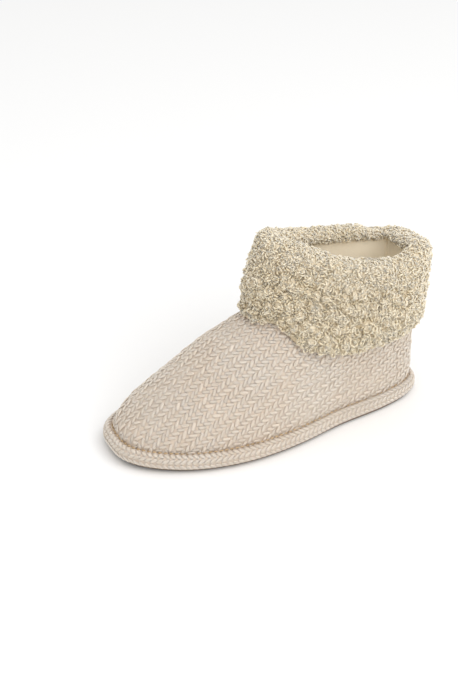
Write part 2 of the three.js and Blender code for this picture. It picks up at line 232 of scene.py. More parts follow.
def read_table(table, key, column, at):
    """Cubic curve through one column of a table. Its slope at each entry is that of the line
    between the entries on either side, and at the ends that of the last stretch."""
    xs, ys = np.array(table[key]), np.array(table[column])
    at = np.clip(np.asarray(at, float), xs[0], xs[-1])
    slopes = np.empty_like(ys)
    slopes[1:-1] = (ys[2:] - ys[:-2]) / (xs[2:] - xs[:-2])
    slopes[0] = (ys[1] - ys[0]) / (xs[1] - xs[0])
    slopes[-1] = (ys[-1] - ys[-2]) / (xs[-1] - xs[-2])
    i = np.clip(np.searchsorted(xs, at, side="right") - 1, 0, len(xs) - 2)
    step = xs[i + 1] - xs[i]
    t = (at - xs[i]) / step
    return ((2 * t ** 3 - 3 * t ** 2 + 1) * ys[i] + (t ** 3 - 2 * t ** 2 + t) * step * slopes[i]
            + (3 * t ** 2 - 2 * t ** 3) * ys[i + 1] + (t ** 3 - t ** 2) * step * slopes[i + 1])


def sole_lift(x, y):
    """Height of the sole above the floor: the toe springs up, and the waist arches inside."""
    along = (y + SOLE_LENGTH / 2) / SOLE_LENGTH
    toe = np.maximum(0, 1 - along / TOE_SPRING_SHARE)
    waist = np.maximum(0, 1 - ((along - ARCH_MIDDLE) / ARCH_HALF_LENGTH) ** 2)
    inner_share = np.clip(0.5 - x / (SOLE_BREADTH * ARCH_FADE_SHARE), 0, 1)
    return TOE_SPRING * toe ** 2 + ARCH_RISE * waist ** 2 * inner_share


def side_read(table, along, angle):
    """Outer or inner column of the sole's outline, by the side that the angle is on."""
    return np.where(np.sin(angle) >= 0, read_table(table, "along", "outer", along),
                    read_table(table, "along", "inner", along))


def sole_point(angle):
    """Outline of the sole. Angle 0 is the toe, a quarter turn is the outer side."""
    along = (1 - np.cos(angle)) / 2
    sine = np.sin(angle)
    half = side_read(SOLE_OUTLINE, along, angle) * SOLE_BREADTH
    x = np.sign(sine) * half * np.abs(sine) ** SOLE_BLUNTNESS - SOLE_SWEEP * (1 - along) ** 2
    return x, -SOLE_LENGTH / 2 + SOLE_LENGTH * along


def frame_shift():
    """From the part's own origin to the frame's, found by the box of the CAD rim."""
    low, high = np.array(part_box("midsole")) * 1000
    x, y = sole_point(ANGLES[::5])
    return np.array([(low[0] + high[0] - x.min() - x.max()) / 2,
                     (low[1] + high[1] - y.min() - y.max()) / 2, 0.0])


def unit(v):
    """Vectors scaled to length one."""
    return v / np.maximum(np.linalg.norm(v, axis=-1, keepdims=True), 1e-9)


def sole_foot(angle):
    """Line round the foot of the upper, on the rim's seat."""
    largest = side_read({"along": [0, 1], "outer": [max(SOLE_OUTLINE["outer"])] * 2,
                         "inner": [max(SOLE_OUTLINE["inner"])] * 2}, 0, angle)
    along = (1 - np.cos(angle)) / 2
    sine = np.sin(angle)
    outline = side_read(SOLE_OUTLINE, along, angle) / largest
    half = (largest * SOLE_BREADTH - RIM_LEDGE * SIDE_LEDGE_SHARE) * outline
    x = np.sign(sine) * half * np.abs(sine) ** SOLE_BLUNTNESS - SOLE_SWEEP * (1 - along) ** 2
    front = -SOLE_LENGTH / 2 + RIM_LEDGE
    back = SOLE_LENGTH / 2 - RIM_LEDGE * HEEL_LEDGE_SHARE
    return x, front + (back - front) * along


def rim_curve():
    """The rim's side as one smooth line, by its own length in millimetres from below."""
    steps = np.linspace(0, 1, 65)
    at = np.linspace(0, 1, len(RIM_PROFILE["rise"]))
    table = {"at": at, **RIM_PROFILE}
    inward = read_table(table, "at", "inward", steps)
    rise = read_table(table, "at", "rise", steps)
    length = np.concatenate([[0], np.cumsum(np.hypot(np.diff(inward) * RIM_LEDGE,
                                                     np.diff(rise) * RIM_THICKNESS))])
    return length, inward, rise


RIM_LENGTHS, RIM_INWARDS, RIM_RISES = rim_curve()


def rim_place(angle, arc, depth=0.0):
    """Point of the rim's face at an angle and a length up its side, sunk by a depth."""
    def at(angle, arc):
        inward = np.interp(arc, RIM_LENGTHS, RIM_INWARDS)
        rise = np.interp(arc, RIM_LENGTHS, RIM_RISES)
        ex, ey = sole_point(angle)
        gx, gy = sole_foot(angle)
        x, y = ex + (gx - ex) * inward, ey + (gy - ey) * inward
        z = RIM_BASE + rise * RIM_THICKNESS + sole_lift(x, y)
        return np.stack(np.broadcast_arrays(x, y, z), -1)
    round_way = at(angle + 0.01, arc) - at(angle - 0.01, arc)
    up_way = at(angle, np.minimum(arc + 0.3, RIM_LENGTHS[-1])) - at(angle, np.maximum(arc - 0.3, 0))
    out = unit(np.cross(round_way, up_way))
    return at(angle, arc) - out * np.asarray(depth)[..., None], out


def ring_faces(rows, columns, closed=False):
    """Four-sided faces between rows of points, each row once round the shoe."""
    r = np.arange(rows if closed else rows - 1)[:, None]
    i = np.arange(columns)[None, :]
    j, n = (i + 1) % columns, (r + 1) % rows
    corners = r * columns + i, r * columns + j, n * columns + j, n * columns + i
    return np.stack(np.broadcast_arrays(*corners), -1).reshape(-1, 4)


def fan_faces(start, columns, pole, turned):
    """Three-sided faces from one ring of points to a single point in its middle."""
    i = start + np.arange(columns)
    j = start + (np.arange(columns) + 1) % columns
    return np.stack([j, i, np.full(columns, pole)] if turned else [i, j, np.full(columns, pole)], -1)


def capped_faces(rows, columns):
    """Faces of rows of points round the shoe, closed by a pole below and a pole above. The two
    poles are the last two points."""
    points = rows * columns
    return [ring_faces(rows, columns), fan_faces(0, columns, points, True),
            fan_faces(points - columns, columns, points + 1, False)]


def add_mesh(name, points, faces, material, replaced, tone=None):
    """One object from an array of points and arrays of faces. It rides on the body, takes the
    given material in its slot and stands for the CAD nodes that are named."""
    points = (points.reshape(-1, 3) + SHIFT) * 0.001
    sizes = np.concatenate([np.full(len(f), f.shape[1]) for f in faces])
    corners = np.concatenate([f.ravel() for f in faces]).astype(np.int32)
    mesh = bpy.data.meshes.new(name)
    mesh.vertices.add(len(points))
    mesh.vertices.foreach_set("co", points.ravel().astype(np.float32))
    mesh.loops.add(len(corners))
    mesh.loops.foreach_set("vertex_index", corners)
    mesh.polygons.add(len(sizes))
    starts = np.concatenate([[0], np.cumsum(sizes)[:-1]]).astype(np.int32)
    mesh.polygons.foreach_set("loop_start", starts)
    mesh.polygons.foreach_set("use_smooth", np.ones(len(sizes), bool))
    if tone is not None:
        layer = mesh.attributes.new("tone", "FLOAT", "POINT")
        layer.data.foreach_set("value", np.broadcast_to(tone, (len(points),)).astype(np.float32))
    mesh.update(calc_edges=True)
    mesh.validate()
    mesh.materials.append(material)
    piece = bpy.data.objects.new(name, mesh)
    bpy.context.scene.collection.objects.link(piece)
    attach(piece, "root")
    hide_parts(*replaced)
    return piece


def yarn_pieces(centres, outs, half_width, half_height, around=6):
    """Short plump lengths of yarn, one for each row of centre points, closed at both ends.
    A section is an ellipse, wide along the face and flat across it. Its size at a place u from
    -1 to 1 along the yarn is the root of 1 - |u|^power, so it thins towards the ends."""
    count, rings = centres.shape[:2]
    way = unit(np.gradient(centres, axis=1))
    side = unit(np.cross(way, outs))
    rise = np.cross(side, way)
    u = np.linspace(-1, 1, rings + 2)[1:-1]
    plump = np.sqrt(1 - np.abs(u) ** LEG_ENDS_POWER)[None, :, None, None]
    turn = 2 * np.pi * np.arange(around) / around
    wide = np.cos(turn)[None, None, :, None] * side[:, :, None] * half_width
    high = np.sin(turn)[None, None, :, None] * rise[:, :, None] * half_height
    body = centres[:, :, None] + plump * (wide + high)
    tips = np.stack([centres[:, 0] - way[:, 0] * half_height * LEG_TIP_SHARE,
                     centres[:, -1] + way[:, -1] * half_height * LEG_TIP_SHARE], 1)
    points = np.concatenate([body.reshape(count, -1, 3), tips], 1)
    stride = rings * around + 2
    offsets = (np.arange(count) * stride)[:, None, None]
    faces = [(one[None, :, ::-1] + offsets).reshape(-1, one.shape[1]) for one in capped_faces(rings, around)]
    return points, faces, stride


LEG_STEPS = np.linspace(-1, 1, 7)[1:-1]
TURNS = 2 * np.pi * np.arange(RING_POINTS) / RING_POINTS
ANGLES = TURNS + ANGLE_SPREAD * np.sin(2 * TURNS)
FINE_ANGLES = np.linspace(0, 2 * np.pi, 2881)
SHIFT = frame_shift()

rim_rows = np.linspace(0, RIM_LENGTHS[-1], RIM_ROWS)
rim_face, _ = rim_place(ANGLES[None, :], rim_rows[:, None], np.full((RIM_ROWS, 1), GROUND_DEPTH))
poles = np.array([[0, 0, RIM_BASE + GROUND_DEPTH + 0.5], [0, 0, rim_face[-1, :, 2].min()]])
# The rim's ground under its stitches is painted darker, as painted shade in the gaps.
rim_ground = add_mesh(
    "rim_ground", np.concatenate([rim_face.reshape(-1, 3), poles]), capped_faces(RIM_ROWS, RING_POINTS),
    cloth_material("rim knit between the stitches", KNIT_GAP_SHADE_LIGHT, KNIT_GAP_SHADE_DARK, KNIT_PATCH,
                   tone_from_mesh=False),
    ["midsole"])


def rim_legs():
    """The stitches of the rim. They point along the rim, in bands one above the other."""
    ex, ey = sole_point(FINE_ANGLES)
    lengths = np.concatenate([[0], np.cumsum(np.hypot(np.diff(ex), np.diff(ey)))])
    count = int(round(lengths[-1] / COURSE_PITCH))
    places = np.arange(count) * lengths[-1] / count
    centres = []
    for start in RIM_WALE_STARTS:
        for sign in (-1, 1):
            along = places[:, None] + LEG_STEPS[None, :] * COURSE_PITCH * LEG_LENGTH_SHARE
            arc = start + WALE_PITCH * (0.5 + sign * (0.25 + 0.25 * LEG_STEPS))[None, :] + 0 * along
            angle = np.interp(along % lengths[-1], lengths, FINE_ANGLES)
            depth = LEG_BOW * LEG_STEPS[None, :] ** 2 - LEG_RISE + 0 * along
            centres.append(rim_place(angle, arc, depth))
    return np.concatenate([c for c, _ in centres]), np.concatenate([o for _, o in centres])


rng = np.random.default_rng(7)
knit_material = cloth_material("chunky knit yarn", KNIT_LIGHT, KNIT_DARK, KNIT_PATCH, softness=0.8)
leg_centres, leg_outs = rim_legs()
points, faces, stride = yarn_pieces(leg_centres, leg_outs, YARN_HALF_WIDTH, YARN_HALF_HEIGHT)
rim_stitches = add_mesh("rim_stitches", points, faces, knit_material, ["midsole"],
                        np.repeat(rng.random(len(leg_centres)), stride))

# Groove thread: the tan thread that closes the wrap round the foot of the upper.
# One short stitch lies in the groove beside each knit stitch of the rim.
THREAD_COLOR_LIGHT = (0.60, 0.45, 0.29)
THREAD_COLOR_DARK = (0.47, 0.34, 0.20)
THREAD_RADIUS = 0.8
THREAD_STEP = 4.0
THREAD_LENGTH_SHARE = 0.42
THREAD_BOW = 0.7
THREAD_RISE = 0.9
THREAD_INSET = 1.3


def thread_legs():
    """Short stitches in the groove, a little apart, each bowed up out of it."""
    gx, gy = sole_foot(FINE_ANGLES)
    lengths = np.concatenate([[0], np.cumsum(np.hypot(np.diff(gx), np.diff(gy)))])
    count = int(round(lengths[-1] / THREAD_STEP))
    places = np.arange(count) * lengths[-1] / count
    along = places[:, None] + LEG_STEPS[None, :] * THREAD_STEP * THREAD_LENGTH_SHARE
    angle = np.interp(along % lengths[-1], lengths, FINE_ANGLES)
    depth = THREAD_BOW * LEG_STEPS[None, :] ** 2 - THREAD_RISE + 0 * along
    return rim_place(angle, np.full(angle.shape, RIM_LENGTHS[-1] - THREAD_INSET), depth)


thread_centres, thread_outs = thread_legs()
points, faces, stride = yarn_pieces(thread_centres, thread_outs, THREAD_RADIUS, THREAD_RADIUS)
add_mesh("groove_thread", points, faces,
         cloth_material("tan sewing thread", THREAD_COLOR_LIGHT, THREAD_COLOR_DARK, (1, 1, 1)),
         ["midsole"], np.repeat(rng.random(len(thread_centres)), stride))

# Upper: one chunky knit, pulled over the last in one piece from toe to collar, with a seam only up
# the heel, where its two sides meet. The stitches lie in rows parallel to the instep, on the cloth
# between them. Soft hollows show where it was pressed.
UPPER_WALL = 2.6
KNIT_DEPTH = 1.9
FACE_ROWS, BACK_ROWS = 66, 24
TAPER_POWER = 1.5
COLLAR_FRONT_HEIGHT = 146.0
COLLAR_BACK_HEIGHT = 123.0
FIT_GAP = 0.3
FOOT_HEIGHT = RIM_BASE + RIM_SEAT * RIM_THICKNESS + FIT_GAP
FOOT_FRONT = -SOLE_LENGTH / 2 + RIM_LEDGE
FOOT_BACK = SOLE_LENGTH / 2 - RIM_LEDGE * HEEL_LEDGE_SHARE
FOOT_LIFT_FADE = 0.3
TUCK_HEIGHT = 110.0
TUCK_LEVEL = -0.09
TUCK_LOWEST = 4.8
UPPER_SECTIONS = {
    "at": [0.00, 0.12, 0.24, 0.36, 0.48, 0.60, 0.72, 0.84, 1.00],
    "front": [0.0000, 0.0030, 0.0280, 0.0865, 0.1758, 0.2809, 0.4290, 0.4440, 0.4714],
    "frontRise": [0.000, 0.041, 0.114, 0.206, 0.323, 0.455, 0.613, 0.755, 1.000],
    "back": [0.0000, -0.0035, -0.0050, -0.0050, -0.0040, -0.0010, 0.0090, 0.0090, 0.0060],
    "backRise": [0.000, 0.074, 0.174, 0.265, 0.355, 0.436, 0.544, 0.715, 1.000],
    "outer": [1.000, 1.018, 0.990, 0.930, 0.860, 0.790, 0.710, 0.675, 0.675],
    "inner": [1.000, 1.014, 1.002, 0.959, 0.896, 0.831, 0.755, 0.717, 0.705],
    "last": [1.00, 1.00, 0.95, 0.85, 0.65, 0.40, 0.20, 0.05, 0.00],
    "toeBlunt": [0.63, 0.64, 0.66, 0.70, 0.75, 0.80, 0.85, 0.78, 0.72],
    "heelBlunt": [0.63, 0.63, 0.63, 0.64, 0.66, 0.66, 0.60, 0.52, 0.46],
    "bend": [1.0, 1.0, 1.0, 0.9, 0.8, 0.6, 0.4, 0.2, 0.0],
    "taper": [0.00, 0.00, 0.00, 0.00, 0.00, 0.00, 0.15, 0.40, 0.64],
}
COLLAR_DROPS = {
    "along": [0.00, 0.07, 0.25, 0.50, 0.75, 0.86, 0.94, 1.00],
    "outer": [0.0, 1.5, 5.2, 8.5, 10.0, 6.5, 1.0, 0.0],
    "inner": [0.0, 1.5, 5.2, 7.5, 7.0, 6.6, 4.2, 0.0],
}
CUFF_EDGES = {
    "along": [0.00, 0.06, 0.12, 0.20, 0.32, 0.50, 0.75, 0.90, 0.96, 1.00],
    "outside": [0.695, 0.708, 0.700, 0.674, 0.640, 0.612, 0.612, 0.637, 0.649, 0.655],
    "inside": [0.997, 0.997, 0.997, 0.997, 0.997, 0.997, 0.997, 0.997, 0.995, 0.985],
}
# Soft troughs and ridges, as (side, y and z of one end, y and z of the other, half width, height).
# The side is 1 outside, -1 inside, 0 on both, and a crease fades over a few millimetres beside it.
CREASE_SIDE_FADE = 4
CREASES = [
    (1, -52, 44, 8, 60, 11, -1.1),
    (1, -20, 34, 34, 46, 12, -0.9),
    (1, 20, 74, 74, 66, 9, -0.8),
    (1, -84, 24, -58, 40, 10, 0.7),
    (0, 96, 30, 112, 62, 10, -0.8),
    (-1, -40, 46, 20, 58, 12, -1.0),
    (-1, 10, 34, 60, 44, 13, -0.9),
    (0, -30, 79, -14, 86, 8, -0.9),
]


def upper_point(level, angle):
    """Point of the CAD upper's outer face at a level from foot (0) to collar (1) and an angle.
    Below the foot the face goes straight down, so that the knit can be tucked into the groove."""
    level, angle = np.broadcast_arrays(np.asarray(level, float), np.asarray(angle, float))
    tuck = np.minimum(level, 0) * TUCK_HEIGHT
    level = np.maximum(level, 0)
    read = {name: read_table(UPPER_SECTIONS, "at", name, level)
            for name in UPPER_SECTIONS if name != "at"}
    along = (1 - np.cos(angle)) / 2
    sine = np.sin(angle)
    is_outer = sine >= 0
    largest = np.where(is_outer, max(SOLE_OUTLINE["outer"]), max(SOLE_OUTLINE["inner"]))
    outline = side_read(SOLE_OUTLINE, along, angle) / largest
    half = ((largest * SOLE_BREADTH - RIM_LEDGE * SIDE_LEDGE_SHARE)
            * np.where(is_outer, read["outer"], read["inner"]))
    blunt = read["toeBlunt"] + (read["heelBlunt"] - read["toeBlunt"]) * along
    shape = 1 + read["last"] * (outline - 1)
    narrow = 1 - read["taper"] * (1 - along) ** TAPER_POWER
    x = (np.sign(sine) * half * shape * np.abs(sine) ** blunt * narrow
         - SOLE_SWEEP * read["bend"] * (1 - along) ** 2)
    front = FOOT_FRONT + read["front"] * SOLE_LENGTH
    back = FOOT_BACK - read["back"] * SOLE_LENGTH
    y = front + (back - front) * along
    front_z = FOOT_HEIGHT + read["frontRise"] * (COLLAR_FRONT_HEIGHT - FOOT_HEIGHT)
    back_z = FOOT_HEIGHT + read["backRise"] * (COLLAR_BACK_HEIGHT - FOOT_HEIGHT)
    fade = np.maximum(0, 1 - level / FOOT_LIFT_FADE)
    drop = side_read(COLLAR_DROPS, along, angle) * level ** 3
    z = front_z + (back_z - front_z) * along + sole_lift(x, y) * fade - drop
    return np.stack([x, y, z + tuck], -1)


def upper_frame(level, angle):
    """Directions at a point of the upper: out of its face, and up along it."""
    level, angle = np.broadcast_arrays(np.asarray(level, float), np.asarray(angle, float))
    round_way = upper_point(level, angle + 0.02) - upper_point(level, angle - 0.02)
    up_way = (upper_point(np.minimum(level + 0.01, 1), angle)
              - upper_point(np.maximum(level - 0.01, 0), angle))
    out = unit(np.cross(round_way, unit(up_way)))
    return out, unit(np.cross(out, round_way))


def upper_offset(level, angle, distance):
    """Point at a distance out from the upper's face, with no creases."""
    out, _ = upper_frame(level, angle)
    return upper_point(level, angle) + out * np.asarray(distance)[..., None]


def soft_step(x, middle, width):
    """Soft change from 0 to 1 round a middle: 1 / (1 + e^((middle - x) / width))."""
    return 1 / (1 + np.exp((middle - x) / width))


def crease_height(points):
    """Sum of the creases. Each one is a bell across its line, height e^-(distance / half width)^2,
    and fades out past its ends."""
    height = np.zeros(points.shape[:-1])
    y, z = points[..., 1], points[..., 2]
    for side, y0, z0, y1, z1, half_width, rise in CREASES:
        length = math.hypot(y1 - y0, z1 - z0)
        share = np.clip(((y - y0) * (y1 - y0) + (z - z0) * (z1 - z0)) / length ** 2, 0, 1)
        distance = np.hypot(y - y0 - share * (y1 - y0), z - z0 - share * (z1 - z0))
        on_side = 1.0 if side == 0 else soft_step(side * points[..., 0], 0, CREASE_SIDE_FADE)
        height += rise * on_side * np.exp(-(distance / half_width) ** 2)
    return height


def dressed_face(level, angle, distance):
    """Point out from the upper's face with the creases, and the direction out of it."""
    out, _ = upper_frame(level, angle)
    base = upper_point(level, angle)
    return base + out * (np.asarray(distance) + crease_height(base))[..., None], out


def cuff_edge(angle, face):
    """Level of the cuff's lower edge, outside or inside."""
    return read_table(CUFF_EDGES, "along", face, (1 - np.cos(angle)) / 2)


outer_rows, _ = dressed_face(np.linspace(0, 1, FACE_ROWS)[:, None], ANGLES[None, :],
                             np.full((FACE_ROWS, 1), -GROUND_DEPTH))
inner_rows = upper_offset(np.linspace(1, 0, BACK_ROWS)[:, None], ANGLES[None, :],
                          np.full((BACK_ROWS, 1), -KNIT_DEPTH))
# The upper's ground under its stitches is painted darker, as painted shade in the gaps.
add_mesh("upper_ground", np.concatenate([outer_rows, inner_rows]),
         [ring_faces(FACE_ROWS + BACK_ROWS, RING_POINTS, closed=True)],
         cloth_material("knit between the stitches", KNIT_GAP_SHADE_LIGHT, KNIT_GAP_SHADE_DARK, KNIT_PATCH,
                        tone_from_mesh=False),
         ["upper"])

WALE_SLOPE = math.radians(29)
STITCH_LEVEL_MARGIN = 0.035
YARN_UNEVENNESS = 0.16
TABLE_SMOOTHING = 4
TABLE_TOP_LEVEL = 0.8
TABLE_STEPS_PER_WALE = 12
SHORTEST_ROW = 8
HEEL_OVERLAP = 0.5
SEAM_OVERLAP = 0.03
HEEL_TURN_START, HEEL_TURN_WIDTH = 0.65, 0.03
HEEL_RING_LEVEL = 0.3
LONGEST_ROW = 260


def smooth_rows(table):
    """Each entry as the mean of those in the rows around it, where all of them are known."""
    padded = np.pad(table, ((TABLE_SMOOTHING, TABLE_SMOOTHING), (0, 0)), constant_values=np.nan)
    span = 2 * TABLE_SMOOTHING + 1
    mean = sum(padded[i:i + len(table)] for i in range(span)) / span
    return np.where(np.isnan(mean), table, mean)


def heel_wrap(angles):
    """Extra length of the cloth as it turns round the heel: the length round the upper less the
    way it has gone back, summed from the place where the heel starts."""
    ring = upper_point(HEEL_RING_LEVEL, angles)
    step = np.diff(ring, axis=0, prepend=ring[:1])
    along = np.where(np.abs(angles) > np.pi, 1, (1 - np.cos(angles)) / 2)
    past = soft_step(along, HEEL_TURN_START, HEEL_TURN_WIDTH)
    return np.cumsum((np.hypot(step[:, 0], step[:, 1]) - step[:, 1]) * past)


def course_tables(side):
    """Where the knit's rows lie on one side of the shoe. A row is the cut of the upper by a plane
    across the rows' direction, which turns with the cloth round the heel, and the second table
    axis is the length along that cut from the middle of the instep. Past the throat a row's length
    goes on from the row before it. The tables go a little past the middle of the heel, where the
    two sides meet."""
    angles = side * np.linspace(0, np.pi + HEEL_OVERLAP, 561)
    levels = np.linspace(TUCK_LEVEL, TABLE_TOP_LEVEL, 357)
    places = upper_point(levels[:, None], angles[None, :])
    wrap = heel_wrap(angles)
    along = (places[..., 1] + wrap) * math.cos(WALE_SLOPE) + places[..., 2] * math.sin(WALE_SLOPE)
    courses = np.arange(along.min() + 0.5, along.max(), COURSE_PITCH / 2)
    top = cuff_edge(angles, "outside") + STITCH_LEVEL_MARGIN
    cut = np.stack([np.interp(courses, along[:, k], levels, left=np.nan, right=np.nan)
                    for k in range(len(angles))], 1)
    cut[cut > top[None, :]] = np.nan
    steps = np.arange(0, LONGEST_ROW, WALE_PITCH / TABLE_STEPS_PER_WALE)
    level_table = np.full((len(courses), len(steps)), np.nan)
    angle_table = np.full((len(courses), len(steps)), np.nan)
    last_across, last_lengths = None, None
    for row, levels_here in enumerate(cut):
        known = np.flatnonzero(~np.isnan(levels_here))
        if len(known) < SHORTEST_ROW or abs(angles[known[0]]) > np.pi:
            continue
        line = upper_point(levels_here[known], angles[known])
        back = line[:, 1] + wrap[known]
        across = line[:, 2] * math.cos(WALE_SLOPE) - back * math.sin(WALE_SLOPE)
        start = 0.0
        if known[0] > 0 and last_across is not None:
            start = np.interp(-across[0], -last_across, last_lengths)
        steps_along = np.linalg.norm(np.diff(line, axis=0), axis=1)
        lengths = start + np.concatenate([[0], np.cumsum(steps_along)])
        this_side = np.abs(angles[known]) <= np.pi
        last_across, last_lengths = across[this_side], lengths[this_side]
        level_table[row] = np.interp(steps, lengths, levels_here[known], left=np.nan, right=np.nan)
        angle_table[row] = np.interp(steps, lengths, angles[known], left=np.nan, right=np.nan)
    return courses, steps, smooth_rows(level_table), smooth_rows(angle_table)


def read_grid(xs, ys, grid, x, y):
    """Value between four entries of an even grid. It is not a number where one of them isn't."""
    fx = np.clip((x - xs[0]) / (xs[1] - xs[0]), 0, len(xs) - 1.001)
    fy = np.clip((y - ys[0]) / (ys[1] - ys[0]), 0, len(ys) - 1.001)
    i, j = fx.astype(int), fy.astype(int)
    u, v = fx - i, fy - j
    value = (grid[i, j] * (1 - u) * (1 - v) + grid[i + 1, j] * u * (1 - v)
             + grid[i, j + 1] * (1 - u) * v + grid[i + 1, j + 1] * u * v)
    return np.where((x < xs[0]) | (x > xs[-1]) | (y < ys[0]) | (y > ys[-1]), np.nan, value)


def upper_legs():
    """The stitches of the upper: two legs each, that spread from a point like a V."""
    draw = np.random.default_rng(5)
    centres, outs = [], []
    for side in (1, -1):
        courses, steps, level_table, angle_table = course_tables(side)
        rows = np.arange(courses[0], courses[-1], COURSE_PITCH)
        for sign in (1, -1):
            wales = np.arange(0 if sign > 0 else 1, int(steps[-1] / WALE_PITCH))
            up = rows[:, None, None] + LEG_STEPS[None, None, :] * COURSE_PITCH * LEG_LENGTH_SHARE
            over = (wales[None, :, None]
                    + sign * (0.25 + 0.25 * LEG_STEPS)[None, None, :]) * WALE_PITCH
            up, over = [v.reshape(-1, len(LEG_STEPS)) for v in np.broadcast_arrays(up, over)]
            level = read_grid(courses, steps, level_table, up, over)
            angle = read_grid(courses, steps, angle_table, up, over)
            this_side = np.abs(angle).mean(1) <= np.pi + SEAM_OVERLAP
            known = ~np.isnan(level).any(1) & ~np.isnan(angle).any(1) & this_side
            level, angle = level[known], angle[known]
            distance = LEG_RISE - LEG_BOW * LEG_STEPS[None, :] ** 2 + 0 * level
            distance = distance + draw.normal(0, YARN_UNEVENNESS, (len(level), 1))
            place, out = dressed_face(level, angle, distance)
            place = place + draw.normal(0, YARN_UNEVENNESS, (len(level), 1, 3))
            above = place[..., 2].min(1) > TUCK_LOWEST
            centres.append(place[above])
            outs.append(out[above])
    return np.concatenate(centres), np.concatenate(outs)


leg_centres, leg_outs = upper_legs()
points, faces, stride = yarn_pieces(leg_centres, leg_outs, YARN_HALF_WIDTH, YARN_HALF_HEIGHT)
add_mesh("upper_stitches", points, faces, knit_material, ["upper"],
         np.repeat(rng.random(len(leg_centres)), stride))

# Lining: smooth cream satin over thin padding, sewn in as an inner sock with an upright seam on
# each side and one at the inner corner of the heel. It runs from the insole up to the fleece.
LINING_LIGHT = (1.0, 0.92, 0.76)
LINING_DARK = (0.97, 0.88, 0.71)
LINING_PUFF = 1.1
LINING_SEAMS = (math.radians(104), math.radians(-84), math.radians(-158))
LINING_SEAM_WIDTH = 0.045
LINING_SEAM_DEPTH = 0.9
LINING_BACK = 2.0
LINING_UNDER_FLEECE = 0.03
LINING_ROWS = 60
LINING_PATCH = (1, 0.985, 0.96)


def lining_offset(level, angle):
    """Depth of the lining's face: it swells between its seams and sinks in a bell-shaped groove
    at each, depth e^-(gap / width)^2."""
    swell = np.ones(np.broadcast(level, angle).shape)
    for seam in LINING_SEAMS:
        gap = np.abs((angle - seam + np.pi) % (2 * np.pi) - np.pi)
        swell = swell * (1 - LINING_SEAM_DEPTH * np.exp(-(gap / LINING_SEAM_WIDTH) ** 2))
    return -UPPER_WALL - LINING_PUFF * swell


inside_top = np.minimum(cuff_edge(ANGLES, "inside") + LINING_UNDER_FLEECE, 1)[None, :]
lining_levels = np.linspace(0.02, 1, LINING_ROWS)[:, None] * inside_top
back_rows = upper_offset(lining_levels, ANGLES[None, :], np.full(lining_levels.shape, -LINING_BACK))
face_levels = lining_levels[::-1]
face_rows = upper_offset(face_levels, ANGLES[None, :], lining_offset(face_levels, ANGLES[None, :]))
lining = add_mesh(
    "lining", np.concatenate([back_rows, face_rows]),
    [ring_faces(2 * LINING_ROWS, RING_POINTS, closed=True)],
    cloth_material("cream lining satin", LINING_LIGHT, LINING_DARK, LINING_PATCH, roughness=0.62,
                   fuzz_scale=900, fuzz_strength=0.12, tone_from_mesh=False),
    ["upper"])

# Insole: a soft foam pad covered in the lining cloth, hidden deep inside. It is crowned, and its
# edge rolls down to the foot of the upper.
INSOLE_THICKNESS = 5.0
INSOLE_CLEARANCE = 1.2
INSOLE_PROFILE = {
    "share": [1.0, 1.0, 0.985, 0.95, 0.9, 0.8, 0.65, 0.45, 0.2],
    "rise": [0.0, 0.55, 0.80, 0.92, 0.97, 1.0, 1.04, 1.08, 1.10],
}

foot_ring = upper_offset(0.0, ANGLES, np.full(RING_POINTS, -UPPER_WALL - INSOLE_CLEARANCE))
insole_shares = np.array(INSOLE_PROFILE["share"])[:, None]
insole_rises = np.array(INSOLE_PROFILE["rise"])[:, None]
ring_x = foot_ring[None, :, 0] * insole_shares
ring_y = foot_ring[None, :, 1] * insole_shares
ring_z = FOOT_HEIGHT + insole_rises * INSOLE_THICKNESS + sole_lift(ring_x, ring_y)
insole_rows = np.stack([ring_x, ring_y, ring_z], -1)
poles = np.array([[0, 0, insole_rows[0, :, 2].min()], [0, 0, insole_rows[-1, :, 2].max() + 0.02]])
insole_pad = add_mesh(
    "insole_pad", np.concatenate([insole_rows.reshape(-1, 3), poles]),
    capped_faces(len(insole_rows), RING_POINTS),
    cloth_material("insole cloth", LINING_LIGHT, LINING_DARK, LINING_PATCH, roughness=0.8,
                   fuzz_scale=900, tone_from_mesh=False),
    ["insole"])

# Cuff: a deep curly fleece, folded over the collar and sewn down inside. Its pile stands in
# tufts 5 to 7 mm across, each a knot of curled locks, with darker backing between them.
# It is closer over the top and towards the heel. Locks and backing carry painted light and
# shade: lighter up the tufts, darker down in the gaps, and lighter over the top and towards the heel.
CUFF_THICKNESS = 8.6
CUFF_INSIDE_THICKNESS = 4.6
CUFF_EDGE_REACH = 0.22
CUFF_EDGE_SHARE = 0.3
CUFF_INSIDE_REACH, CUFF_INSIDE_START = 0.5, 0.02
CUFF_INSIDE_ROOM = 0.8
CUFF_FOLD_ROUNDNESS = 0.70
OUTSIDE_ROWS, FOLD_ROWS, INSIDE_ROWS = 48, 18, 14
CORNER_SMOOTHING = 22
FACES_FORWARD = 0.05
# Places where the fleece changes, each with the width of its change.
HEEL_EXTRA_THICKNESS = 3.0
HEEL_EXTRA_START = (0.972, 0.008)
INNER_FOLD_DROP = 0.10
INNER_SIDE_START, INNER_FRONT_START = (4, 3), (-10, 6)
HEEL_FOLD_DROP = 0.50
HEEL_START, HEEL_OUTER_CORNER = (96, 4), (-10, 4)
ANKLE_DIP = 0.46
ANKLE_MIDDLE, ANKLE_HALF_LENGTH, OUTER_SIDE_START = 50, 23, (4, 3)


def fleece_thickness(full, t):
    """Thickness of the fleece at a share t of its height. It rounds off towards its edge like a
    quarter circle, from a part of the full thickness."""
    edge = np.minimum(t / CUFF_EDGE_REACH, 1)
    return full * (CUFF_EDGE_SHARE + (1 - CUFF_EDGE_SHARE) * np.sqrt(1 - (1 - edge) ** 2))


